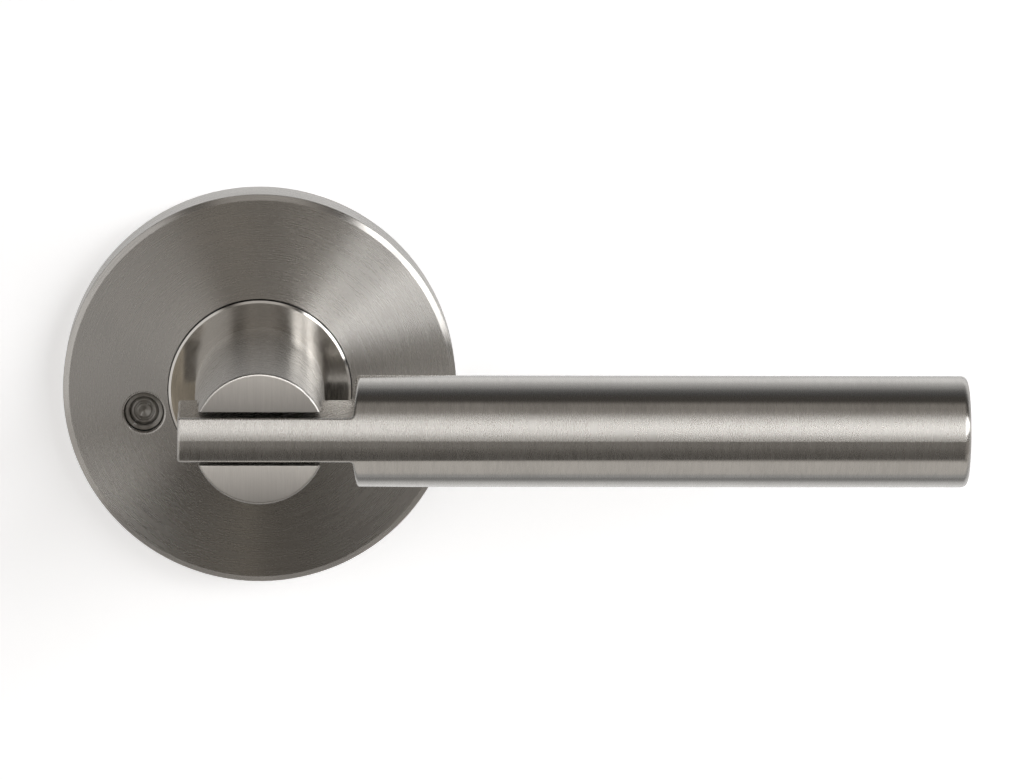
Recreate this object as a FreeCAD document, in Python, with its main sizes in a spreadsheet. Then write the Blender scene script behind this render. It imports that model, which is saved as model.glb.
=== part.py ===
"""Door lever handle on a round rose, with its return spring, spindle and privacy pin.

The origin is on the spindle's axis, in the plane of the door's face. +X runs along the lever, +Z is up
and -Y points from the door to the user. A depth is a distance in front of the door's face, so it is -Y.
"""
import FreeCAD, Part
import math
import os
import re

import Sketcher
from FreeCAD import Placement, Rotation, Vector

# The driving dimensions, in millimetres and degrees.
SIZES = {
    # rose cover: a dished shell with a bevelled rim and a shallow cone for its face
    "rose_radius": 34.5,
    "rose_side": 9.05,
    "rose_bevel_width": 1.0,
    "rose_bevel_rise": 0.45,
    "rose_face": 10.4,
    "rose_opening": 16.2,
    "rose_shell": 1.2,
    "rose_edge": 0.15,
    # mounting plate against the door, and the wire ring that clips the cover on it
    "plate_radius": 33.0,
    "plate_thickness": 2.0,
    "plate_opening": 12.0,
    "snap_wire": 0.5,
    "snap_depth": 1.25,
    "snap_angle": 345.0,
    "snap_groove": 0.6,
    # threaded posts into the door
    "post_spacing": 44.0,
    "post_radius": 4.0,
    "post_head_radius": 5.0,
    "post_head": 0.8,
    "post_length": 30.0,
    "post_thread_radius": 2.1,
    "post_thread_length": 22.0,
    # housing of the return spring, on the plate
    "housing_radius": 16.2,
    "housing_wall": 1.2,
    "housing_front": 7.8,
    "lid_thickness": 0.7,
    "lid_radius": 15.6,
    "ear_radius": 3.4,
    "ear_thickness": 1.0,
    "rivet_circle": 18.6,
    "rivet_radius": 1.25,
    "rivet_head_radius": 2.1,
    "rivet_crown_radius": 1.5,
    "rivet_head": 0.75,
    # nylon bush that the neck turns in
    "bush_radius": 10.0,
    "bush_rear": 6.8,
    "bush_flange_radius": 12.5,
    "bush_flange": 0.5,
    "running_gap": 0.05,
    # collar round the neck
    "collar_radius": 16.0,
    "collar_rear": 8.6,
    "collar_front": 11.2,
    "collar_rim": 0.42,
    "collar_rim_fall": 0.16,
    # neck: a spigot inside the rose and a slotted post in front of it
    "spigot_radius": 8.0,
    "spigot_end": 0.6,
    "spigot_chamfer": 0.4,
    "spigot_flat": 7.0,
    "neck_radius": 11.3,
    "neck_front": 57.2,
    "neck_rounding": 0.45,
    "slot_half": 4.6,
    "slot_floor": 41.5,
    "slot_step": 46.0,
    # driver on the spigot's flats, its lug for the spring and its tab for the stops
    "driver_rear": 2.7,
    "driver_front": 6.5,
    "driver_hub": 10.5,
    "driver_flange_radius": 13.6,
    "driver_flange": 0.7,
    "driver_key": 4.2,
    "lug_inner": 12.9,
    "lug_angle": 18.6,
    "tab_radius": 14.6,
    "tab_angle": 16.0,
    "stop_inner": 13.9,
    "stop_angle": 9.0,
    "stop_front": 3.6,
    "play": 0.3,
    # torsion spring round the driver's hub
    "spring_radius": 11.7,
    "spring_wire": 0.55,
    "spring_start": 4.02,
    "spring_pitch": 1.25,
    "spring_leg_end": 14.4,
    "spring_leg_angle": 12.7,
    "spring_bend": 1.1,
    # circlip and spring washer behind the driver
    "circlip_rear": 1.3,
    "circlip_thickness": 1.0,
    "circlip_radius": 10.2,
    "circlip_angle": 320.0,
    "groove_radius": 7.4,
    "washer_inner": 8.2,
    "washer_outer": 11.0,
    "washer_thickness": 0.3,
    # lever bar: a round bar whose end is milled down to a tongue
    "bar_radius": 9.5,
    "bar_depth": 49.7,
    "bar_end": 120.6,
    "bar_rounding": 1.1,
    "tongue_half": 3.8,
    "tongue_end": -13.85,
    "tongue_edge": 0.45,
    "tongue_flat_end": 12.0,
    "shoulder": 16.6,
    "shoulder_arc": 42.5,
    "shoulder_corner": 0.6,
    "bore_radius": 6.5,
    "bore_start": 34.0,
    "cap_radius": 7.5,
    "cap_length": 5.0,
    "cap_chamfer": 0.2,
    # screw from inside the neck into the tongue
    "screw_radius": 2.0,
    "screw_hole": 2.1,
    "screw_tip": 50.0,
    "screw_head_radius": 3.5,
    "screw_head": 4.0,
    "screw_seat": 33.0,
    "screw_counterbore": 3.9,
    "screw_key": 3.0,
    "screw_key_depth": 2.0,
    # spindle and the grub screw that locks it
    "spindle_square": 8.0,
    "spindle_front": 27.0,
    "spindle_length": 72.0,
    "spindle_chamfer": 0.6,
    "square_hole": 8.1,
    "square_hole_front": 28.0,
    "grub_depth": 19.0,
    "grub_radius": 2.5,
    "grub_length": 6.6,
    "grub_key": 2.5,
    "grub_key_depth": 2.5,
    # privacy pin, spring and sleeve beside the hub
    "privacy_x": -20.3,
    "privacy_z": -4.1,
    "privacy_hole": 3.5,
    "privacy_hole_rounding": 0.35,
    "sleeve_radius": 3.3,
    "sleeve_bore": 2.6,
    "sleeve_front": 8.8,
    "sleeve_rear": -9.0,
    "sleeve_wall": 1.0,
    "sleeve_rim_chamfer": 0.25,
    "sleeve_flange_radius": 4.2,
    "sleeve_flange": 0.8,
    "pin_head_radius": 2.5,
    "pin_head_rear": 4.0,
    "pin_head_front": 8.1,
    "pin_stem_radius": 1.4,
    "pin_stem_end": -22.0,
    "pin_chamfer": 0.4,
    "pin_dimple_radius": 0.95,
    "pin_dimple": 0.7,
    "pin_ring_inner": 1.25,
    "pin_ring_outer": 1.8,
    "pin_ring_slope": 0.1,
    "pin_ring_depth": 0.45,
    "pin_groove_radius": 1.0,
    "pin_clip_radius": 2.9,
    "pin_clip_front": -9.3,
    "pin_clip_thickness": 0.6,
    "pin_clip_angle": 300.0,
    "pin_spring_radius": 2.0,
    "pin_spring_wire": 0.22,
    "pin_spring_turns": 8.0,
    # how far a cut runs past the metal, and how far a joined block is sunk in its neighbour
    "overrun": 1.0,
    "sink": 0.1,
}

EAR_ANGLE = 45
EARS = 4
LUG_DIRECTION = 90
TAB_DIRECTION = -90
STOP_CENTRE = 59
TOP_DIRECTION = 90
COIL_PIECES = 8
TOLERANCE = 1e-3
LEAST_CHANGE = 1e-4

doc = FreeCAD.newDocument("door_lever")
sheet = doc.addObject("Spreadsheet::Sheet", "sizes")
for row, (alias, number) in enumerate(SIZES.items(), start=1):
    sheet.set(f"A{row}", str(number))
    sheet.setAlias(f"A{row}", alias)
doc.recompute()


def bind(item, prop, formula):
    """Tie a property to a formula in which each word is a size in the sheet."""
    def linked(word):
        return f"sizes.{word[0]}" if word[0] in SIZES else word[0]
    item.setExpression(prop, re.sub(r"[a-z_]+", linked, formula))


def new_body(label):
    body = doc.addObject("PartDesign::Body", label)
    body.Label = label
    return body


def origin_feature(body, role):
    return next(item for item in body.Origin.OriginFeatures if item.Role == role)


def new_sketch(body, plane, rotation=Rotation(), **shift):
    """A sketch on one of the body's own planes, turned, then moved along x, y and z by formulas."""
    sketch = body.newObject("Sketcher::SketchObject", body.Label + "_sketch")
    sketch.AttachmentSupport = [(origin_feature(body, plane), "")]
    sketch.MapMode = "FlatFace"
    sketch.AttachmentOffset = Placement(Vector(), rotation)
    for direction, formula in shift.items():
        bind(sketch, f"AttachmentOffset.Base.{direction}", formula)
    return sketch


def front_sketch(body, depth):
    """A sketch that faces the user at a depth: across is +X and up is +Z."""
    return new_sketch(body, "XZ_Plane", z=depth)


def axial_sketch(body, direction=0, x="0", z="0"):
    """A sketch that holds an axis along Y: across is the distance from that axis and up is the depth."""
    flip = Rotation(Vector(1, 0, 0), 180)
    turn = Rotation(Vector(0, 1, 0), -direction)
    return new_sketch(body, "XY_Plane", turn * flip, x=x, z=z)


def bar_sketch(body):
    """A sketch that holds the bar's axis: across is +X and up is the distance from that axis."""
    return new_sketch(body, "XY_Plane", Rotation(Vector(1, 0, 0), 180), y="-bar_depth")


def place(sketch, element, point, across, up):
    """Hold a point of a sketch's element at two formulas, measured from the sketch's origin."""
    for kind, formula in (("DistanceX", across), ("DistanceY", up)):
        index = sketch.addConstraint(Sketcher.Constraint(kind, -1, 1, element, point, 1.0))
        bind(sketch, f"Constraints[{index}]", formula)


def outline(sketch, corners):
    """Draw a closed outline of straight lines through corners, each given by two formulas."""
    first = sketch.GeometryCount
    count = len(corners)
    turns = [2 * math.pi * number / count for number in range(count + 1)]
    points = [Vector(math.cos(turn), math.sin(turn), 0) for turn in turns]
    for start, end in zip(points, points[1:]):
        sketch.addGeometry(Part.LineSegment(start, end))
    for number, (across, up) in enumerate(corners):
        previous = first + (number - 1) % count
        sketch.addConstraint(Sketcher.Constraint("Coincident", previous, 2, first + number, 1))
        place(sketch, first + number, 1, across, up)
    return sketch


def rectangle(sketch, left, right, low, high):
    return outline(sketch, [(left, low), (right, low), (right, high), (left, high)])


def circle(sketch, radius, across="0", up="0"):
    number = sketch.addGeometry(Part.Circle(Vector(), Vector(0, 0, 1), 1))
    place(sketch, number, 3, across, up)
    index = sketch.addConstraint(Sketcher.Constraint("Radius", number, 1.0))
    bind(sketch, f"Constraints[{index}]", radius)
    return sketch


def hexagon(sketch, across_flats, across="0", up="0"):
    """Draw a hexagonal key's outline round a point."""
    corners = []
    for number in range(6):
        reach_x = math.cos(math.radians(60 * number)) / math.sqrt(3)
        reach_y = math.sin(math.radians(60 * number)) / math.sqrt(3)
        corner = f"{across} + {across_flats} * {reach_x:.9f}", f"{up} + {across_flats} * {reach_y:.9f}"
        corners.append(corner)
    return outline(sketch, corners)


def extrude(sketch, length, cut=False, backwards=False):
    """Pad a sketch along its normal, or pocket it against its normal."""
    body = sketch.getParentGeoFeatureGroup()
    kind = "PartDesign::Pocket" if cut else "PartDesign::Pad"
    feature = body.newObject(kind, body.Label + "_extrusion")
    feature.Profile = sketch
    feature.Reversed = backwards
    bind(feature, "Length", length)
    return feature


def revolve(sketch, angle=None, cut=False, axis="V_Axis"):
    """Turn a sketch round one of its axes, by a full turn or by an angle half to each side."""
    body = sketch.getParentGeoFeatureGroup()
    kind = "PartDesign::Groove" if cut else "PartDesign::Revolution"
    feature = body.newObject(kind, body.Label + "_turning")
    feature.Profile = sketch
    feature.ReferenceAxis = (sketch, [axis])
    feature.Angle = 360
    if angle:
        feature.Midplane = True
        bind(feature, "Angle", angle)
    return feature


def repeat(features, count):
    """Repeat features round the spindle's axis."""
    body = features[0].getParentGeoFeatureGroup()
    pattern = body.newObject("PartDesign::PolarPattern", body.Label + "_pattern")
    pattern.Originals = features
    pattern.Axis = (origin_feature(body, "Y_Axis"), [""])
    pattern.Angle = 360
    pattern.Occurrences = count
    body.Tip = pattern
    return pattern


def soften(feature, size, chosen, kind="Fillet"):
    """Round or chamfer the edges of a feature that the test chooses."""
    doc.recompute()
    edges = [f"Edge{number}" for number, edge in enumerate(feature.Shape.Edges, start=1) if chosen(edge)]
    if not edges:
        raise RuntimeError(f"{feature.Label}: no edge to soften")
    body = feature.getParentGeoFeatureGroup()
    softened = body.newObject(f"PartDesign::{kind}", f"{body.Label}_{kind.lower()}")
    softened.Base = (feature, edges)
    bind(softened, "Radius" if kind == "Fillet" else "Size", size)
    return softened


def rim_at(depth, radius):
    """A test for a circle round the spindle's axis, at a depth and with a radius."""
    def chosen(edge):
        box = edge.BoundBox
        flat = abs(box.YMin + depth) < TOLERANCE and abs(box.YMax + depth) < TOLERANCE
        return flat and abs(box.XMax - radius) < TOLERANCE
    return chosen


def rose_cover():
    """A dished shell: straight side, bevelled rim and shallow cone, with a hub opening and a pin hole."""
    body = new_body("rose_cover")
    shell = revolve(outline(axial_sketch(body), [
        ("rose_radius", "0"),
        ("rose_radius", "rose_side"),
        ("rose_radius - rose_bevel_width", "rose_side + rose_bevel_rise"),
        ("rose_opening", "rose_face"),
        ("rose_opening", "rose_face - rose_shell"),
        ("rose_radius - rose_shell - rose_bevel_width", "rose_side + rose_bevel_rise - rose_shell"),
        ("rose_radius - rose_shell", "rose_side - rose_shell"),
        ("rose_radius - rose_shell", "0"),
    ]))
    rim = rim_at(sheet.rose_side, sheet.rose_radius)
    bevel = rim_at(sheet.rose_side + sheet.rose_bevel_rise, sheet.rose_radius - sheet.rose_bevel_width)
    soften(shell, "rose_edge", lambda edge: rim(edge) or bevel(edge))
    revolve(rectangle(
        axial_sketch(body),
        "rose_radius - rose_shell - sink",
        "plate_radius + snap_wire + running_gap",
        "snap_depth - snap_wire - running_gap",
        "snap_depth + snap_wire + running_gap",
    ), cut=True)
    hole = extrude(
        circle(front_sketch(body, "rose_face"), "privacy_hole", "privacy_x", "privacy_z"),
        "rose_face - plate_thickness",
        cut=True,
    )

    def hole_rim(edge):
        box = edge.BoundBox
        aside = math.hypot(box.Center.x - sheet.privacy_x, box.Center.z - sheet.privacy_z)
        in_front = -box.YMax > sheet.rose_side
        return in_front and aside < sheet.privacy_hole_rounding and box.XLength > sheet.privacy_hole
    soften(hole, "privacy_hole_rounding", hole_rim)
    return body


def mounting_plate():
    """The disc against the door, with holes for the hub, the posts, the pin's sleeve and the rivets."""
    body = new_body("mounting_plate")
    extrude(circle(front_sketch(body, "0"), "plate_radius"), "plate_thickness")
    revolve(rectangle(
        axial_sketch(body),
        "plate_radius - snap_groove",
        "plate_radius + overrun",
        "snap_depth - snap_wire - running_gap",
        "snap_depth + snap_wire + running_gap",
    ), cut=True)
    holes = circle(front_sketch(body, "plate_thickness"), "plate_opening")
    circle(holes, "post_radius", "0", "post_spacing / 2")
    circle(holes, "post_radius", "0", "-post_spacing / 2")
    circle(holes, "sleeve_radius", "privacy_x", "privacy_z")
    extrude(holes, "plate_thickness", cut=True)
    across = f"rivet_circle * {math.cos(math.radians(EAR_ANGLE)):.9f}"
    hole = revolve(outline(axial_sketch(body, x=across, z=across), [
        ("0", "0"),
        ("rivet_head_radius", "0"),
        ("rivet_radius", "rivet_head"),
        ("rivet_radius", "plate_thickness"),
        ("0", "plate_thickness"),
    ]), cut=True)
    repeat([hole], EARS)
    return body


def rose_snap_ring():
    """An open wire ring, half in the plate's groove and half in the cover's."""
    body = new_body("rose_snap_ring")
    wire = circle(axial_sketch(body, TOP_DIRECTION), "snap_wire", "plate_radius", "snap_depth")
    revolve(wire, "snap_angle")
    return body


def through_posts():
    """Two headed posts, pressed through the plate from the front and threaded from their far ends."""
    body = new_body("through_posts")

    def pair(depth, radius):
        sketch = circle(front_sketch(body, depth), radius, "0", "post_spacing / 2")
        return circle(sketch, radius, "0", "-post_spacing / 2")
    extrude(pair("-post_length", "post_radius"), "post_length + plate_thickness")
    extrude(pair("plate_thickness", "post_head_radius"), "post_head")
    extrude(pair("post_thread_length - post_length", "post_thread_radius"), "post_thread_length", cut=True)
    return body


def spring_housing():
    """A round wall with a rebate for the lid, four riveted ears, a spring lug and two end stops."""
    body = new_body("spring_housing")
    inner = "housing_radius - housing_wall"
    revolve(outline(axial_sketch(body), [
        (inner, "plate_thickness"),
        ("housing_radius", "plate_thickness"),
        ("housing_radius", "housing_front"),
        ("lid_radius", "housing_front"),
        ("lid_radius", "housing_front - lid_thickness"),
        (inner, "housing_front - lid_thickness"),
    ]))
    revolve(rectangle(
        axial_sketch(body, LUG_DIRECTION),
        "stop_inner",
        inner + " + sink",
        "driver_rear + driver_flange + play",
        "housing_front - lid_thickness",
    ), "lug_angle")
    for side in (-1, 1):
        revolve(rectangle(
            axial_sketch(body, TAB_DIRECTION + side * STOP_CENTRE),
            "stop_inner",
            inner + " + sink",
            "plate_thickness",
            "stop_front",
        ), "stop_angle")
    across = f"rivet_circle * {math.cos(math.radians(EAR_ANGLE)):.9f}"
    ear = circle(front_sketch(body, "plate_thickness"), "ear_radius", across, across)
    repeat([extrude(ear, "ear_thickness")], EARS)
    hole = extrude(
        circle(front_sketch(body, "plate_thickness + ear_thickness"), "rivet_radius", across, across),
        "ear_thickness",
        cut=True,
    )
    repeat([hole], EARS)
    return body


def housing_lid():
    body = new_body("housing_lid")
    rear = "housing_front - lid_thickness"
    revolve(rectangle(axial_sketch(body), "bush_radius", "lid_radius", rear, "housing_front"))
    return body


def housing_rivets():
    """Four rivets: flush in the plate behind, domed on the ears in front."""
    body = new_body("housing_rivets")
    across = f"rivet_circle * {math.cos(math.radians(EAR_ANGLE)):.9f}"
    ear_front = "plate_thickness + ear_thickness"
    rivet = revolve(outline(axial_sketch(body, x=across, z=across), [
        ("0", "0"),
        ("rivet_head_radius", "0"),
        ("rivet_radius", "rivet_head"),
        ("rivet_radius", ear_front),
        ("rivet_head_radius", ear_front),
        ("rivet_crown_radius", ear_front + " + rivet_head"),
        ("0", ear_front + " + rivet_head"),
    ]))
    repeat([rivet], EARS)
    return body


def bearing_bush():
    """A flanged nylon bush in the lid, under the collar."""
    body = new_body("bearing_bush")
    inner = "spigot_radius + running_gap"
    revolve(outline(axial_sketch(body), [
        (inner, "bush_rear"),
        ("bush_radius", "bush_rear"),
        ("bush_radius", "housing_front"),
        ("bush_flange_radius", "housing_front"),
        ("bush_flange_radius", "housing_front + bush_flange"),
        (inner, "housing_front + bush_flange"),
    ]))
    return body


def driver():
    """A flanged hub keyed on the spigot, with a lug for the spring's legs and a tab for the stops."""
    body = new_body("driver")
    flange_front = "driver_rear + driver_flange"
    revolve(outline(axial_sketch(body), [
        ("spigot_radius", "driver_rear"),
        ("driver_flange_radius", "driver_rear"),
        ("driver_flange_radius", flange_front),
        ("driver_hub", flange_front),
        ("driver_hub", "driver_front"),
        ("spigot_radius", "driver_front"),
    ]))
    revolve(rectangle(
        axial_sketch(body, LUG_DIRECTION),
        "lug_inner",
        "driver_flange_radius",
        "driver_rear",
        "housing_front - lid_thickness - play",
    ), "lug_angle")
    revolve(rectangle(
        axial_sketch(body, TAB_DIRECTION),
        "driver_hub",
        "tab_radius",
        "driver_rear",
        flange_front,
    ), "tab_angle")
    keys = front_sketch(body, "driver_rear")
    rectangle(keys, "-driver_key", "driver_key", "spigot_flat", "spigot_radius + overrun")
    rectangle(keys, "-driver_key", "driver_key", "-spigot_radius - overrun", "-spigot_flat")
    extrude(keys, "driver_front - driver_rear")
    return body


def return_spring():
    """A torsion spring of nearly two turns whose bent legs stand on either side of the lugs."""
    radius = sheet.spring_radius
    bend = sheet.spring_bend
    coil_end = sheet.spring_leg_angle + math.degrees(math.asin(bend / sheet.spring_leg_end))
    turns = 2 - 2 * coil_end / 360
    height = sheet.spring_pitch * turns
    climb = math.atan(sheet.spring_pitch / (2 * math.pi * radius))

    def leg(angle, depth, sense):
        """The bend and the straight leg at one end of the coil, from the coil outwards."""
        outward = Vector(math.cos(angle), math.sin(angle), 0)
        around = Vector(-math.sin(angle), math.cos(angle), 0)
        along = (around * math.cos(climb) + Vector(0, 0, math.sin(climb))) * sense
        start = outward * radius + Vector(0, 0, depth)
        half = math.sqrt(0.5)
        middle = start + (outward * (1 - half) + along * half) * bend
        corner = start + (outward + along) * bend
        tip = corner + outward * (sheet.spring_leg_end - radius - bend)
        return [Part.Arc(start, middle, corner).toShape(), Part.LineSegment(corner, tip).toShape()]
    first = leg(0, 0, -1)
    last = leg(2 * math.pi * turns, height, 1)
    coil = []
    for number in range(COIL_PIECES):
        piece = Part.makeHelix(sheet.spring_pitch, height / COIL_PIECES, radius)
        piece.rotate(Vector(), Vector(0, 0, 1), 360 * turns * number / COIL_PIECES)
        piece.translate(Vector(0, 0, height * number / COIL_PIECES))
        coil.extend(piece.Edges)
    path = Part.Wire([first[1], first[0], *coil, *last])
    tip = Vector(sheet.spring_leg_end, -bend * math.cos(climb), -bend * math.sin(climb))
    section = Part.Wire(Part.makeCircle(sheet.spring_wire, tip, Vector(1, 0, 0)))
    spring = doc.addObject("Part::Feature", "return_spring")
    spring.Label = "return_spring"
    spring.Shape = path.makePipeShell([section], True, False)
    turned = Rotation(Vector(0, 0, 1), LUG_DIRECTION + coil_end)
    along_spindle = Rotation(Vector(1, 0, 0), 90)
    spring.Placement = Placement(Vector(0, -sheet.spring_start, 0), along_spindle * turned)
    return spring


def circlip():
    """An open ring in the spigot's groove, behind the spring washer."""
    body = new_body("circlip")
    front = "circlip_rear + circlip_thickness"
    section = rectangle(
        axial_sketch(body, TOP_DIRECTION), "groove_radius", "circlip_radius", "circlip_rear", front
    )
    revolve(section, "circlip_angle")
    return body


def spring_washer():
    """A coned washer that takes up the play between the circlip and the driver."""
    body = new_body("spring_washer")
    rear = "circlip_rear + circlip_thickness"
    revolve(outline(axial_sketch(body), [
        ("washer_inner", rear),
        ("washer_outer", "driver_rear - washer_thickness"),
        ("washer_outer", "driver_rear"),
        ("washer_inner", rear + " + washer_thickness"),
    ]))
    return body


def collar():
    """The flat ring that closes the rose's opening and turns with the neck."""
    body = new_body("collar")
    revolve(outline(axial_sketch(body), [
        ("spigot_radius", "collar_rear"),
        ("collar_radius", "collar_rear"),
        ("collar_radius", "collar_front - collar_rim_fall"),
        ("collar_radius - collar_rim", "collar_front"),
        ("spigot_radius", "collar_front"),
    ]))
    return body


def neck():
    """The post: a spigot in the rose, a square socket for the spindle and a slot for the tongue."""
    body = new_body("neck")
    post = revolve(outline(axial_sketch(body), [
        ("0", "spigot_end"),
        ("spigot_radius - spigot_chamfer", "spigot_end"),
        ("spigot_radius", "spigot_end + spigot_chamfer"),
        ("spigot_radius", "collar_front"),
        ("neck_radius", "collar_front"),
        ("neck_radius", "neck_front"),
        ("0", "neck_front"),
    ]))
    soften(post, "neck_rounding", rim_at(sheet.neck_front, sheet.neck_radius))
    revolve(rectangle(
        axial_sketch(body),
        "groove_radius",
        "spigot_radius + overrun",
        "circlip_rear",
        "circlip_rear + circlip_thickness",
    ), cut=True)
    flats = front_sketch(body, "driver_front")
    rectangle(flats, "-spigot_radius", "spigot_radius", "spigot_flat", "spigot_radius + overrun")
    rectangle(flats, "-spigot_radius", "spigot_radius", "-spigot_radius - overrun", "-spigot_flat")
    extrude(flats, "driver_front - spigot_end", cut=True)
    half = "square_hole / 2"
    socket = rectangle(front_sketch(body, "square_hole_front"), "-" + half, half, "-" + half, half)
    extrude(socket, "square_hole_front - spigot_end", cut=True)
    counterbore = circle(front_sketch(body, "screw_seat"), "screw_counterbore")
    extrude(counterbore, "screw_seat - square_hole_front", cut=True)
    extrude(circle(front_sketch(body, "slot_floor"), "screw_hole"), "slot_floor - screw_seat", cut=True)
    steps = ("neck_front", "slot_step", "slot_half"), ("slot_step", "slot_floor", "tongue_half")
    for depth, floor, half in steps:
        sketch = front_sketch(body, depth)
        slot = rectangle(sketch, "-neck_radius - overrun", "neck_radius + overrun", "-" + half, half)
        extrude(slot, f"{depth} - {floor}", cut=True)
    grub_hole = new_sketch(body, "XY_Plane", Rotation(Vector(1, 0, 0), 180), z="-spindle_square / 4")
    extrude(circle(grub_hole, "grub_radius", "0", "grub_depth"), "neck_radius", cut=True, backwards=True)
    return body


def lever_bar():
    """A round bar drilled out from its free end, with a tongue milled at the other."""
    body = new_body("lever_bar")
    bar = revolve(rectangle(bar_sketch(body), "tongue_end", "bar_end", "0", "bar_radius"), axis="H_Axis")
    bar = soften(bar, "bar_rounding", lambda edge: edge.BoundBox.XMin > sheet.bar_end - TOLERANCE)
    revolve(outline(bar_sketch(body), [
        ("bore_start", "0"),
        ("bore_start", "bore_radius"),
        ("bar_end - cap_length", "bore_radius"),
        ("bar_end - cap_length", "cap_radius"),
        ("bar_end + overrun", "cap_radius"),
        ("bar_end + overrun", "0"),
    ]), cut=True, axis="H_Axis")
    cheek = extrude(shoulder_cut(body), "bar_radius", cut=True, backwards=True)
    mirror = body.newObject("PartDesign::Mirrored", "lever_bar_mirror")
    mirror.Originals = [cheek]
    mirror.MirrorPlane = (origin_feature(body, "XY_Plane"), [""])
    body.Tip = mirror

    def inner_corner(edge):
        box = edge.BoundBox
        on_flat = box.ZLength < TOLERANCE and abs(abs(box.Center.z) - sheet.tongue_half) < TOLERANCE
        return on_flat and box.XMin > sheet.tongue_flat_end and box.YLength > sheet.bar_radius
    rounded = soften(mirror, "shoulder_corner", inner_corner)

    def tongue_front(edge):
        box = edge.BoundBox
        in_front = -box.Center.y > sheet.bar_depth + sheet.tongue_half
        along = in_front and box.ZLength < TOLERANCE and box.XLength > sheet.neck_radius
        at_end = box.XMax < sheet.tongue_end + TOLERANCE
        return along and abs(box.Center.z) < sheet.tongue_half + TOLERANCE or at_end
    soften(rounded, "tongue_edge", tongue_front)
    seat = front_sketch(body, "slot_floor")
    rectangle(seat, "tongue_end - overrun", "tongue_flat_end", "-bar_radius", "bar_radius")
    extrude(seat, "bar_radius", cut=True)
    screw_hole = circle(front_sketch(body, "screw_tip + overrun"), "screw_radius")
    extrude(screw_hole, "bar_radius + overrun", cut=True)
    return body


def shoulder_cut(body):
    """What is milled away above the tongue: a block that ends in an arc at the shoulder."""
    sketch = new_sketch(body, "XY_Plane", y="-bar_depth", z="tongue_half")
    reach = sheet.bar_radius + sheet.overrun
    half = math.asin(reach / sheet.shoulder_arc)
    centre = Vector(sheet.shoulder - sheet.shoulder_arc, 0, 0)
    milled = Part.ArcOfCircle(Part.Circle(centre, Vector(0, 0, 1), sheet.shoulder_arc), -half, half)
    arc = sketch.addGeometry(milled)
    place(sketch, arc, 3, "shoulder - shoulder_arc", "0")
    index = sketch.addConstraint(Sketcher.Constraint("Radius", arc, sheet.shoulder_arc))
    bind(sketch, f"Constraints[{index}]", "shoulder_arc")
    far = -2 * reach
    corners = [milled.EndPoint, Vector(far, reach, 0), Vector(far, -reach, 0), milled.StartPoint]
    lines = [Part.LineSegment(start, end) for start, end in zip(corners, corners[1:])]
    sides = [sketch.addGeometry(line) for line in lines]
    sketch.addConstraint(Sketcher.Constraint("Coincident", arc, 2, sides[0], 1))
    sketch.addConstraint(Sketcher.Constraint("Coincident", sides[0], 2, sides[1], 1))
    sketch.addConstraint(Sketcher.Constraint("Coincident", sides[1], 2, sides[2], 1))
    sketch.addConstraint(Sketcher.Constraint("Coincident", sides[2], 2, arc, 1))
    sketch.addConstraint(Sketcher.Constraint("Horizontal", sides[0]))
    sketch.addConstraint(Sketcher.Constraint("Horizontal", sides[2]))
    place(sketch, sides[1], 1, "tongue_end - overrun", "bar_radius + overrun")
    place(sketch, sides[1], 2, "tongue_end - overrun", "-bar_radius - overrun")
    return sketch


def end_cap():
    """The plug in the bar's drilled end."""
    body = new_body("end_cap")
    revolve(outline(bar_sketch(body), [
        ("bar_end - cap_length", "0"),
        ("bar_end - cap_length", "cap_radius"),
        ("bar_end - cap_chamfer", "cap_radius"),
        ("bar_end", "cap_radius - cap_chamfer"),
        ("bar_end", "0"),
    ]), axis="H_Axis")
    return body


def lever_screw():
    """A socket-head screw from the bottom of the spindle's socket into the tongue."""
    body = new_body("lever_screw")
    rear = "screw_seat - screw_head"
    revolve(outline(axial_sketch(body), [
        ("0", rear),
        ("screw_head_radius", rear),
        ("screw_head_radius", "screw_seat"),
        ("screw_radius", "screw_seat"),
        ("screw_radius", "screw_tip"),
        ("0", "screw_tip"),
    ]))
    key = hexagon(front_sketch(body, rear + " + screw_key_depth"), "screw_key")
    extrude(key, "screw_key_depth", cut=True)
    return body


def spindle():
    """The square bar that turns the latch, seated in the neck's socket."""
    body = new_body("spindle")
    half = "spindle_square / 2"
    square = rectangle(
        front_sketch(body, "spindle_front - spindle_length"), "-" + half, half, "-" + half, half
    )
    bar = extrude(square, "spindle_length")
    soften(bar, "spindle_chamfer", lambda edge: edge.BoundBox.YLength < TOLERANCE, kind="Chamfer")
    return body


def grub_screw():
    """The set screw in the neck's underside that bears on the spindle."""
    body = new_body("grub_screw")
    down = Rotation(Vector(1, 0, 0), 180)
    tip = new_sketch(body, "XY_Plane", down, z="-spindle_square / 2")
    extrude(circle(tip, "grub_radius", "0", "grub_depth"), "grub_length")
    key = new_sketch(body, "XY_Plane", down, z="-spindle_square / 2 - grub_length + grub_key_depth")
    extrude(hexagon(key, "grub_key", "0", "grub_depth"), "grub_key_depth", cut=True, backwards=True)
    return body


def privacy_sketch(body, direction=0):
    return axial_sketch(body, direction, x="privacy_x", z="privacy_z")


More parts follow.
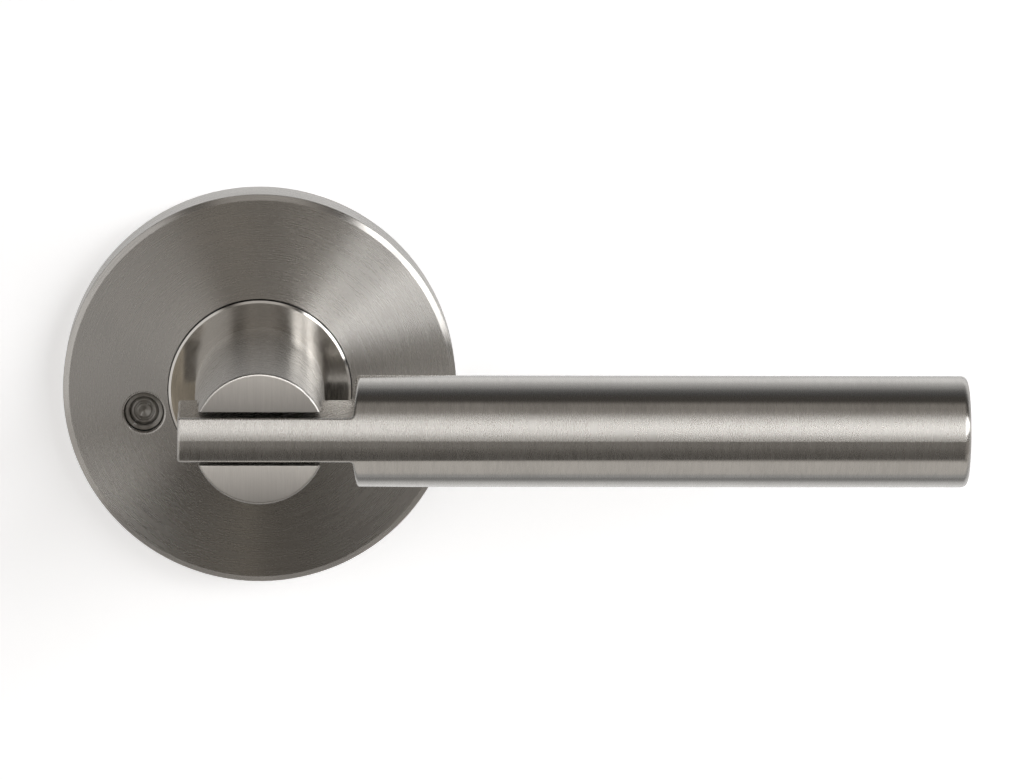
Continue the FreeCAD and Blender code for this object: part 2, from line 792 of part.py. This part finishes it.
def privacy_sleeve():
    """The flanged guide of the privacy pin: open in front, with a wall behind for the spring."""
    body = new_body("privacy_sleeve")
    flange_front = "plate_thickness + sleeve_flange"
    wall = "sleeve_rear + sleeve_wall"
    revolve(outline(privacy_sketch(body), [
        ("pin_stem_radius + running_gap", "sleeve_rear"),
        ("sleeve_radius", "sleeve_rear"),
        ("sleeve_radius", "plate_thickness"),
        ("sleeve_flange_radius", "plate_thickness"),
        ("sleeve_flange_radius", flange_front),
        ("sleeve_radius", flange_front),
        ("sleeve_radius", "sleeve_front"),
        ("sleeve_bore + sleeve_rim_chamfer", "sleeve_front"),
        ("sleeve_bore", "sleeve_front - sleeve_rim_chamfer"),
        ("sleeve_bore", wall),
        ("pin_stem_radius + running_gap", wall),
    ]))
    return body


def privacy_pin():
    """The pin that a thin tool pushes: a turned head with a dimple and a ring groove, and a long stem."""
    body = new_body("privacy_pin")
    front = "pin_head_front"
    ring_floor = "pin_head_front - pin_ring_depth"
    clip_rear = "pin_clip_front - pin_clip_thickness"
    revolve(outline(privacy_sketch(body), [
        ("0", front + " - pin_dimple"),
        ("pin_dimple_radius", front),
        ("pin_ring_inner", front),
        ("pin_ring_inner + pin_ring_slope", ring_floor),
        ("pin_ring_outer - pin_ring_slope", ring_floor),
        ("pin_ring_outer", front),
        ("pin_head_radius - pin_chamfer", front),
        ("pin_head_radius", front + " - pin_chamfer"),
        ("pin_head_radius", "pin_head_rear"),
        ("pin_stem_radius", "pin_head_rear"),
        ("pin_stem_radius", "pin_clip_front"),
        ("pin_groove_radius", "pin_clip_front"),
        ("pin_groove_radius", clip_rear),
        ("pin_stem_radius", clip_rear),
        ("pin_stem_radius", "pin_stem_end + pin_chamfer"),
        ("pin_stem_radius - pin_chamfer", "pin_stem_end"),
        ("0", "pin_stem_end"),
    ]))
    return body


def pin_clip():
    """The open ring on the pin's stem that stops it against the sleeve."""
    body = new_body("pin_clip")
    revolve(rectangle(
        privacy_sketch(body, TOP_DIRECTION),
        "pin_groove_radius",
        "pin_clip_radius",
        "pin_clip_front - pin_clip_thickness",
        "pin_clip_front",
    ), "pin_clip_angle")
    return body


def privacy_spring():
    """The compression spring between the sleeve's rear wall and the pin's head."""
    body = new_body("privacy_spring")
    start = "sleeve_rear + sleeve_wall + pin_spring_wire + running_gap"
    section = circle(privacy_sketch(body), "pin_spring_wire", "pin_spring_radius", start)
    coil = body.newObject("PartDesign::AdditiveHelix", "privacy_spring_coil")
    coil.Profile = section
    coil.ReferenceAxis = (section, ["V_Axis"])
    coil.Mode = "height-turns-angle"
    bind(coil, "Turns", "pin_spring_turns")
    bind(coil, "Height", f"pin_head_rear - pin_spring_wire - running_gap - ({start})")
    return body


def check_pieces(pieces):
    """Stop if any object failed, if a feature changed nothing or if a piece's shape isn't sound."""
    for item in doc.Objects:
        if "Invalid" in item.State or "Error" in item.State:
            raise RuntimeError(f"{item.Label}: {item.State}")
        base = getattr(item, "BaseFeature", None)
        if base and item.isDerivedFrom("PartDesign::Feature"):
            if abs(item.Shape.Volume - base.Shape.Volume) < LEAST_CHANGE:
                raise RuntimeError(f"{item.Label} changes nothing")
    for piece in pieces:
        if piece.Shape.isNull() or not piece.Shape.isValid():
            raise RuntimeError(f"{piece.Label}: unsound shape")


PIECES = [
    mounting_plate(),
    through_posts(),
    spring_housing(),
    housing_lid(),
    housing_rivets(),
    bearing_bush(),
    return_spring(),
    rose_cover(),
    rose_snap_ring(),
    privacy_sleeve(),
    privacy_spring(),
    privacy_pin(),
    pin_clip(),
    driver(),
    spring_washer(),
    circlip(),
    collar(),
    neck(),
    lever_bar(),
    end_cap(),
    lever_screw(),
    spindle(),
    grub_screw(),
]
doc.recompute()
check_pieces(PIECES)
os.makedirs("parts", exist_ok=True)
for piece in PIECES:
    piece.Shape.exportStep(f"parts/{piece.Label}.step")
    solids = len(piece.Shape.Solids)
    print(f"{piece.Label}: {solids} solid(s), {piece.Shape.Volume:.1f} mm3")
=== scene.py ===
"""Looks of the door lever handle: brushed stainless materials, studio light and the photograph's camera."""
import math

import bpy
from mathutils import Matrix, Vector


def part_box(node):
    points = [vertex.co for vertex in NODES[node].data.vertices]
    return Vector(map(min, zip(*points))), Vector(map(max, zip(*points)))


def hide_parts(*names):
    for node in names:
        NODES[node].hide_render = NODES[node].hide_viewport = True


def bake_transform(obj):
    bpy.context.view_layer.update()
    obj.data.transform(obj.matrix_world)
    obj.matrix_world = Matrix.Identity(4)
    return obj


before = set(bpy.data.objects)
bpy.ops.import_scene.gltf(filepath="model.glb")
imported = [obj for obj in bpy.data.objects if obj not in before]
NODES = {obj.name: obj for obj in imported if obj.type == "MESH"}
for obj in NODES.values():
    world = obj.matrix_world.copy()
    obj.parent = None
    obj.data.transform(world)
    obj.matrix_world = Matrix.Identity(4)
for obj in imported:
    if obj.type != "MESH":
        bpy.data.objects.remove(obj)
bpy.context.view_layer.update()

# Where things are, in metres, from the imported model.
BAR_LOW, BAR_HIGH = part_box("lever_bar")
BAR_AXIS = Vector((0, BAR_LOW.y + (BAR_HIGH.z - BAR_LOW.z) / 2, 0))
PIN_LOW, PIN_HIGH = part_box("privacy_pin")
PIN_AXIS = (PIN_LOW + PIN_HIGH) / 2
CENTRE = Vector((0, 0, 0))

# The heights of the edges of the neck's two cheeks, below and above the bar, and how far painted light
# lightens them there.
LOW_CHEEK = (-0.0113, -0.0050)
LOW_CHEEK_PAINTED_LIGHT = (1.0, 2.0)
HIGH_CHEEK = (0.0040, 0.0105)
HIGH_CHEEK_PAINTED_LIGHT = (0.95, 1.9)
CHEEK_ROUGHNESS = 0.12

ALONG_X = (1, 0, 0)
ALONG_Y = (0, 1, 0)
ALONG_Z = (0, 0, 1)

STEEL = (0.620, 0.600, 0.572, 1)
# Painted shade: the rose and the neck get darker copies of STEEL.
SHADED_ROSE_STEEL = (0.540, 0.522, 0.498, 1)
SHADED_NECK_STEEL = (0.490, 0.472, 0.448, 1)
BRIGHT = (0.650, 0.628, 0.596, 1)
# Painted shade: the privacy sleeve and pin, down in the rose's hole, get a darker copy of the steel.
SHADED_STEEL = (0.430, 0.415, 0.390, 1)
ZINC = (0.600, 0.615, 0.640, 1)
SINTERED = (0.500, 0.490, 0.480, 1)
RIVET = (0.500, 0.500, 0.510, 1)
WASHER = (0.450, 0.450, 0.460, 1)
THIN_WIRE = (0.420, 0.420, 0.430, 1)
RING_WIRE = (0.400, 0.400, 0.410, 1)
OILED_WIRE = (0.320, 0.320, 0.330, 1)
DARK = (0.100, 0.100, 0.105, 1)
WHITE = (1, 1, 1, 1)

# Fine scratches to the metre, how far they lighten and roughen the brushed metal, and how deep they look.
SCRATCHES = 5200.0
STREAK = 0.06
ROUGH_STREAK = 0.04
SCRATCH_STRENGTH = 0.012
SCRATCH_DEPTH = 0.00001
# How strongly highlights spread across the scratches, from 0 to 1.
STRETCH = 0.96
# The roundness of edges, in metres.
BRUSHED_EDGE = 0.00015
PLAIN_EDGE = 0.0001


class Graph:
    """A node tree that is written like a sum: most calls add nodes and return the last one's socket."""

    def __init__(self, tree):
        self.tree = tree
        tree.nodes.clear()

    def add(self, kind, *values, **settings):
        """Add one node, and return the node itself."""
        node = self.tree.nodes.new("ShaderNode" + kind)
        for name, setting in settings.items():
            setattr(node, name, setting)
        for socket, value in zip(node.inputs, values):
            self.feed(socket, value)
        return node

    def feed(self, socket, value):
        if isinstance(value, bpy.types.NodeSocket):
            self.tree.links.new(value, socket)
        elif value is not None:
            socket.default_value = value

    def math(self, operation, *values):
        return self.add("Math", *values, operation=operation).outputs[0]

    def vector(self, operation, *values):
        node = self.add("VectorMath", *values, operation=operation)
        return node.outputs["Value" if operation in ("LENGTH", "DOT_PRODUCT") else "Vector"]

    def split(self, vector):
        return self.add("SeparateXYZ", vector).outputs

    def join(self, x, y, z):
        return self.add("CombineXYZ", x, y, z).outputs[0]

    def place(self):
        return self.add("TexCoord").outputs["Object"]

    def remap(self, value, low, high, new_low, new_high, smooth=True):
        kind = "SMOOTHSTEP" if smooth else "LINEAR"
        return self.add("MapRange", value, low, high, new_low, new_high, interpolation_type=kind).outputs[0]

    def noise(self, coordinates, scale, detail, roughness):
        return self.add("TexNoise", coordinates, None, scale, detail, roughness).outputs["Fac"]

    def spread(self, noise, low, high, smooth=True):
        """Stretch a noise, most of which lies between 0.3 and 0.7, to run from low to high."""
        return self.remap(noise, 0.3, 0.7, low, high, smooth)

    def mix(self, factor, first, second, kind="RGBA"):
        node = self.add("Mix", data_type=kind)
        for socket, value in zip(("Factor", "A", "B"), (factor, first, second)):
            self.feed(node.inputs[socket], value)
        return node.outputs["Result"]

    def blend(self, factor, first, second):
        return self.mix(factor, first, second, kind="FLOAT")

    def ramp(self, value, stops):
        """Grey levels that ease from one stop to the next."""
        node = self.add("ValToRGB", value)
        node.color_ramp.interpolation = "EASE"
        elements = node.color_ramp.elements
        while len(elements) < len(stops):
            elements.new(0.5)
        for element, (position, level) in zip(elements, stops):
            element.position = position
            element.color = (level, level, level, 1)
        return node.outputs["Color"]

    def tint(self, color, level):
        """A colour made lighter or darker by a level."""
        node = self.add("VectorMath", color[:3], operation="SCALE")
        self.feed(node.inputs["Scale"], level)
        return node.outputs["Vector"]

    def rounded(self, radius):
        """The normals of a shape whose edges are rounded."""
        return self.add("Bevel", radius, samples=4).outputs[0]

    def bump(self, strength, depth, height, normal=None):
        node = self.add("Bump", strength, depth)
        self.feed(node.inputs["Height"], height)
        self.feed(node.inputs["Normal"], normal)
        return node.outputs[0]

    def surface(self, **values):
        """Finish a material with one Principled surface, whose sockets are named in lower case."""
        shader = self.add("BsdfPrincipled")
        for name, value in values.items():
            self.feed(shader.inputs[name.replace("_", " ").title()], value)
        self.add("OutputMaterial", shader.outputs[0])


def new_material(name):
    material = bpy.data.materials.new(name)
    material.use_nodes = True
    return material, Graph(material.node_tree)


def lathe(graph, axis, centre):
    """Coordinates of a surface turned round an axis.

    Returns the distance out plus the distance along, the way out, and the way that a tool's groove runs.
    """
    spot = graph.vector("SUBTRACT", graph.place(), centre)
    across = Vector((1, 1, 1)) - Vector(axis)
    flat = graph.vector("MULTIPLY", spot, across)
    out = graph.vector("NORMALIZE", flat)
    along = graph.vector("DOT_PRODUCT", spot, axis)
    travel = graph.math("ADD", graph.vector("LENGTH", flat), along)
    groove = graph.vector("CROSS_PRODUCT", axis, out)
    return travel, out, groove


def scratches(graph, travel, ways, pitch, arc, detail, roughness):
    """A noise that changes fast across the grooves and slowly along them."""
    coordinates = graph.join(
        graph.math("MULTIPLY", travel, pitch),
        graph.math("MULTIPLY", ways[0], arc),
        graph.math("MULTIPLY", ways[1], arc),
    )
    return graph.noise(coordinates, 1.0, detail, roughness)


def cheeks(graph, axis, flat, travel, groove):
    """Lay the grooves along flat on the faces square to an axis, and paint light on those faces, lighter
    upwards.

    Returns the new travel and groove, where those faces are, and the painted light at each spot.
    """
    square_on = 0.9
    coordinates = graph.add("TexCoord").outputs
    square = graph.math("ABSOLUTE", graph.vector("DOT_PRODUCT", coordinates["Normal"], axis))
    facing = graph.math("GREATER_THAN", square, square_on)
    across = Vector(axis).cross(Vector(flat))
    travel = graph.blend(facing, travel, graph.vector("DOT_PRODUCT", coordinates["Object"], across))
    groove = graph.mix(facing, groove, (*flat, 1))
    height = graph.split(coordinates["Object"])[2]
    lower = graph.remap(height, *LOW_CHEEK, *LOW_CHEEK_PAINTED_LIGHT, smooth=False)
    upper = graph.remap(height, *HIGH_CHEEK, *HIGH_CHEEK_PAINTED_LIGHT, smooth=False)
    painted_lightness = graph.blend(graph.math("GREATER_THAN", height, 0.0), lower, upper)
    return travel, groove, facing, graph.blend(facing, 1.0, painted_lightness)


def brushed(name, axis, centre, color=STEEL, roughness=0.27, flat=None):
    """Satin steel whose fine scratches run round an axis, or along flat on the faces square to that axis,
    which then get painted light, lighter upwards.
    """
    material, graph = new_material(name)
    travel, out, groove = lathe(graph, axis, centre)
    x, y, z = graph.split(out)
    ways = (y, z) if axis == ALONG_X else (x, z)
    if flat:
        travel, groove, facing, painted_lightness = cheeks(graph, axis, flat, travel, groove)
    fine = scratches(graph, travel, ways, pitch=SCRATCHES, arc=5.0, detail=3.0, roughness=0.65)
    coarse = scratches(graph, travel, ways, pitch=SCRATCHES / 4, arc=2.5, detail=2.0, roughness=0.5)
    lines = graph.math("ADD", graph.math("MULTIPLY", fine, 0.6), graph.math("MULTIPLY", coarse, 0.4))
    cloud = graph.noise(graph.place(), scale=70.0, detail=3.0, roughness=0.55)
    streaks = graph.spread(lines, 1 - STREAK, 1 + STREAK, smooth=False)
    mottled_and_painted_light = graph.math("MULTIPLY", streaks, graph.spread(cloud, 0.97, 1.03))
    rough = graph.spread(lines, roughness + ROUGH_STREAK, roughness - ROUGH_STREAK, smooth=False)
    rough = graph.math("MULTIPLY", rough, graph.spread(cloud, 1.04, 0.96))
    # On the cheeks, painted light: the colour grows lighter upwards.
    if flat:
        mottled_and_painted_light = graph.math("MULTIPLY", mottled_and_painted_light, painted_lightness)
        rough = graph.math("ADD", rough, graph.math("MULTIPLY", facing, CHEEK_ROUGHNESS))
    soft_edge = graph.rounded(BRUSHED_EDGE)
    turned = graph.add("VectorTransform", groove, convert_from="OBJECT", convert_to="WORLD").outputs[0]
    graph.surface(
        base_color=graph.tint(color, mottled_and_painted_light),
        metallic=1.0,
        roughness=rough,
        anisotropic=STRETCH,
        tangent=graph.vector("NORMALIZE", graph.vector("CROSS_PRODUCT", soft_edge, turned)),
        normal=graph.bump(SCRATCH_STRENGTH, SCRATCH_DEPTH, lines, soft_edge),
    )
    return material


def polished(name):
    """The collar's near-mirror face, with the faintest turning marks."""
    material, graph = new_material(name)
    travel, out, _ = lathe(graph, ALONG_Y, CENTRE)
    x, _, z = graph.split(out)
    lines = scratches(graph, travel, (x, z), pitch=4000.0, arc=3.0, detail=2.0, roughness=0.6)
    graph.surface(
        base_color=graph.tint(BRIGHT, graph.spread(lines, 0.97, 1.0)),
        metallic=1.0,
        roughness=graph.spread(lines, 0.07, 0.12),
        normal=graph.bump(strength=0.05, depth=SCRATCH_DEPTH, height=lines),
    )
    return material


def plain_metal(name, color, roughness, grain=900.0):
    """Plated, sintered or blackened metal with a fine uneven grain."""
    material, graph = new_material(name)
    grit = graph.noise(graph.place(), scale=grain, detail=4.0, roughness=0.6)
    cloud = graph.noise(graph.place(), scale=120.0, detail=2.0, roughness=0.5)
    graph.surface(
        base_color=graph.tint(color, graph.spread(cloud, 0.94, 1.06)),
        metallic=1.0,
        roughness=graph.spread(grit, roughness - 0.05, roughness + 0.07),
        normal=graph.bump(strength=0.15, depth=0.00004, height=grit, normal=graph.rounded(PLAIN_EDGE)),
    )
    return material


def nylon(name):
    """Natural nylon, faintly clouded."""
    material, graph = new_material(name)
    grit = graph.noise(graph.place(), scale=1500.0, detail=3.0, roughness=0.5)
    cloud = graph.noise(graph.place(), scale=150.0, detail=2.0, roughness=0.5)
    graph.surface(
        base_color=graph.mix(cloud, (0.78, 0.76, 0.70, 1), (0.86, 0.85, 0.80, 1)),
        roughness=graph.spread(grit, 0.42, 0.55),
        normal=graph.bump(strength=0.1, depth=0.00003, height=grit),
    )
    return material


def paint(node, material):
    slots = NODES[node].data.materials
    slots.clear()
    slots.append(material)


def smooth(node):
    """Shade a node's curved faces smoothly and keep its corners sharp."""
    corner = math.radians(30)
    piece = NODES[node]
    bpy.context.view_layer.objects.active = piece
    piece.select_set(True)
    bpy.ops.object.shade_smooth_by_angle(angle=corner)
    piece.select_set(False)


FINISHES = {
    "rose_cover": brushed("rose_brushed", ALONG_Y, CENTRE, SHADED_ROSE_STEEL),
    "neck": brushed("neck_brushed", ALONG_Y, CENTRE, SHADED_NECK_STEEL, flat=ALONG_Z),
    "lever_bar": brushed("bar_brushed", ALONG_X, BAR_AXIS),
    "end_cap": brushed("cap_brushed", ALONG_X, BAR_AXIS),
    "collar": polished("collar_polished"),
    "privacy_sleeve": brushed("sleeve_turned", ALONG_Y, PIN_AXIS, SHADED_STEEL, roughness=0.35),
    "privacy_pin": brushed("pin_turned", ALONG_Y, PIN_AXIS, SHADED_STEEL, roughness=0.35),
    "mounting_plate": plain_metal("plate_zinc", ZINC, 0.35),
    "through_posts": plain_metal("post_zinc", ZINC, 0.30),
    "spring_housing": plain_metal("housing_zinc", ZINC, 0.38),
    "housing_lid": plain_metal("lid_zinc", ZINC, 0.36),
    "housing_rivets": plain_metal("rivet_plain", RIVET, 0.40),
    "bearing_bush": nylon("bush_nylon"),
    "return_spring": plain_metal("spring_wire", OILED_WIRE, 0.35),
    "privacy_spring": plain_metal("pin_spring_wire", THIN_WIRE, 0.32),
    "rose_snap_ring": plain_metal("snap_ring_wire", RING_WIRE, 0.34),
    "pin_clip": plain_metal("pin_clip_black", DARK, 0.42),
    "circlip": plain_metal("circlip_black", DARK, 0.42),
    "driver": plain_metal("driver_sintered", SINTERED, 0.5, grain=2500.0),
    "spring_washer": plain_metal("washer_steel", WASHER, 0.33),
    "lever_screw": plain_metal("lever_screw_black", DARK, 0.40),
    "grub_screw": plain_metal("grub_screw_black", DARK, 0.40),
    "spindle": plain_metal("spindle_zinc", ZINC, 0.33),
}
for node, finish in FINISHES.items():
    paint(node, finish)
for name in NODES:
    smooth(name)


def springing(node):
    """Stand a copy of a coil spring in for its node.

    In the handle the spring shortens between the body that it rests on, at the back, and the one that moves,
    at the front; this copy keeps the node's length.
    """
    coil = bpy.data.objects.new(node + "_coil", NODES[node].data.copy())
    bpy.context.scene.collection.objects.link(coil)
    coil.matrix_world = NODES[node].matrix_world.copy()
    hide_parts(node)
    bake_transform(coil)


springing("privacy_spring")


def studio_world():
    """A dark studio: a bright soft light on the right, a dimmer one on the left and a pale table below.

    Its patches are set out in degrees. Rise is up from the user's side, side is to the right, and fan is the
    way round the direction that the rose mirrors to the camera. The camera itself sees plain white.
    """
    mirror_drop = 10.0
    world = bpy.data.worlds.new("studio")
    world.use_nodes = True
    bpy.context.scene.world = world
    graph = Graph(world.node_tree)
    heading = graph.vector("NORMALIZE", graph.add("TexCoord").outputs["Generated"])
    x, y, z = graph.split(heading)
    to_degrees = math.degrees(1)
    rise = graph.math("ARCTAN2", z, graph.math("MULTIPLY", y, -1.0))
    rise = graph.math("MULTIPLY", rise, to_degrees)
    side = graph.math("MULTIPLY", graph.math("ARCSINE", x), to_degrees)
    fan = graph.math("ARCTAN2", graph.math("ADD", rise, mirror_drop), side)
    fan = graph.math("WRAP", graph.math("MULTIPLY", fan, to_degrees), 360.0, 0.0)

    def band(value, low, high, soft_low, soft_high):
        """One between two angles, and softly nothing outside them."""
        enters = graph.remap(value, low - soft_low, low + soft_low, 0.0, 1.0)
        leaves = graph.remap(value, high - soft_high, high + soft_high, 1.0, 0.0)
        return graph.math("MULTIPLY", enters, leaves)

    def patch(strength, area, within=1.0):
        return graph.math("MULTIPLY", graph.math("MULTIPLY", area, within), strength)

    right = graph.math("MULTIPLY", band(rise, -20, 47, 3, 8), band(side, 16, 80, 2, 6))
    left = graph.math("MULTIPLY", band(rise, -60, 50, 1, 5), band(side, -88, -12, 5, 3))
    level = 0.0
    for light in (
        patch(2.8, band(fan, 18, 35, 2, 2), right),
        patch(4.8, band(fan, 35, 44, 2, 2), right),
        patch(1.6, band(fan, 44, 51, 2, 2), right),
        patch(4.7, band(fan, 51, 61, 2, 3), right),
        patch(0.82, band(fan, 114, 195, 6, 4), left),
        patch(0.56, band(fan, 195, 226, 4, 4), left),
        patch(0.27, band(rise, -8, 50, 3, 8), band(side, -13, 16, 3, 3)),
        patch(0.28, band(rise, 24, 44, 8, 6), band(side, -9, 11, 3, 3)),
        patch(0.28, band(rise, -50, -6, 3, 4), band(side, 16, 80, 3, 5)),
        patch(0.58, band(rise, -103, -53, 10, 3)),
        patch(0.30, band(rise, 45, 72, 8, 6), band(side, -14, 14, 5, 5)),
        patch(0.08, band(rise, 45, 72, 8, 6)),
        patch(0.07, band(rise, 75, 105, 8, 8)),
        patch(0.02, band(rise, -53, 75, 2, 10)),
        patch(0.55, band(graph.math("ABSOLUTE", rise), 105, 190, 8, 5)),
    ):
        level = graph.math("ADD", level, light)
    warm = graph.mix(graph.remap(level, 0.05, 1.2, 0.0, 1.0), (1.0, 0.93, 0.85, 1), WHITE)
    seen = graph.add("LightPath").outputs["Is Camera Ray"]
    shade = graph.mix(seen, warm, WHITE)
    strength = graph.blend(seen, level, 1.0)
    graph.add("OutputWorld", graph.add("Background", shade, strength).outputs[0])


def sheet(name, left, right, low, high, depth):
    """Stand an upright rectangle in the studio, facing the user; returns it and its material's graph."""
    mesh = bpy.data.meshes.new(name)
    corners = [(left, depth, low), (right, depth, low), (right, depth, high), (left, depth, high)]
    mesh.from_pydata(corners, [], [(0, 1, 2, 3)])
    piece = bpy.data.objects.new(name, mesh)
    bpy.context.scene.collection.objects.link(piece)
    material, graph = new_material(name)
    mesh.materials.append(material)
    return piece, graph


def only_mirrored(piece):
    """Let a piece of the studio show in the metal and nowhere else."""
    piece.visible_camera = False
    piece.visible_diffuse = False
    piece.visible_shadow = False


def wall(name, depth):
    half = 3.0
    return sheet(name, -half, half, -half, half, depth)


def finish_wall(graph, front):
    """Show a wall's front and let everything through from behind."""
    behind = graph.add("NewGeometry").outputs["Backfacing"]
    clear = graph.add("BsdfTransparent").outputs[0]
    graph.add("OutputMaterial", graph.add("MixShader", behind, front, clear).outputs[0])


def build_white_wall():
    """The wall that the camera sees."""
    white, graph = wall("wall_white", depth=0.0004)
    white.visible_glossy = False
    diffuse = graph.add("BsdfDiffuse", (0.92, 0.92, 0.93, 1)).outputs[0]
    across = graph.split(graph.place())[0]
    glow = graph.add("Emission", WHITE, graph.remap(across, -0.06, 0.03, 0.38, 0.50)).outputs[0]
    finish_wall(graph, graph.add("AddShader", diffuse, glow).outputs[0])


def build_mirrored_wall():
    """The greyer wall that the metal mirrors.

    Its brightness is given by share of the way from the handle's height to a reach above and below it.
    """
    reach = 0.5
    brightness_up = [
        (0.00, 0.66), (0.05, 0.67), (0.07, 0.88), (0.10, 0.84),
        (0.16, 0.53), (0.23, 0.34), (0.40, 0.14), (0.85, 0.08),
    ]
    brightness_down = [
        (0.00, 0.64), (0.10, 0.80), (0.17, 0.62),
        (0.30, 0.25), (0.50, 0.23), (0.65, 0.42),
    ]
    grey, graph = wall("wall_mirrored", depth=0.0005)
    only_mirrored(grey)
    across, _, height = graph.split(graph.place())
    upper = graph.ramp(graph.remap(height, 0.0, reach, 0.0, 1.0, smooth=False), brightness_up)
    lower = graph.ramp(graph.remap(height, 0.0, -reach, 0.0, 1.0, smooth=False), brightness_down)
    level = graph.mix(graph.math("GREATER_THAN", height, 0.0), lower, upper)
    dim_left = graph.remap(across, -0.15, -0.02, 0.60, 1.0)
    finish_wall(graph, graph.add("Emission", level, dim_left).outputs[0])


def build_card(name, left, right, color):
    """A tall card at the camera's distance, ending a little below it."""
    card, graph = sheet(name, left, right, low=-1.2, high=0.20, depth=-1.28)
    only_mirrored(card)
    graph.add("OutputMaterial", graph.add("Emission", color, 1.0).outputs[0])


def build_camera():
    """The photograph's camera: a long lens, almost straight in front and looking ten degrees down."""
    distance = 1.3
    camera = bpy.data.cameras.new("camera")
    camera.lens = 257.0
    camera.sensor_width = 36.0
    camera.clip_end = 20.0
    piece = bpy.data.objects.new("camera", camera)
    bpy.context.scene.collection.objects.link(piece)
    target = Vector((0.0451, 0, -0.0018))
    drop = math.radians(10.12)
    swing = math.radians(0.09)
    away = Vector((math.sin(swing) * math.cos(drop), -math.cos(swing) * math.cos(drop), math.sin(drop)))
    roll = Matrix.Rotation(math.radians(0.42), 4, "Z")
    place = away * distance
    turn = (target - place).to_track_quat("-Z", "Y").to_matrix().to_4x4() @ roll
    piece.matrix_world = Matrix.Translation(place) @ turn
    bpy.context.scene.camera = piece


studio_world()
build_white_wall()
build_mirrored_wall()
build_card("stand", -0.027, 0.026, (0.012, 0.011, 0.010, 1))
build_card("curtain", -0.060, -0.027, (0.52, 0.46, 0.37, 1))
build_camera()
bpy.context.scene.view_settings.view_transform = "Standard"
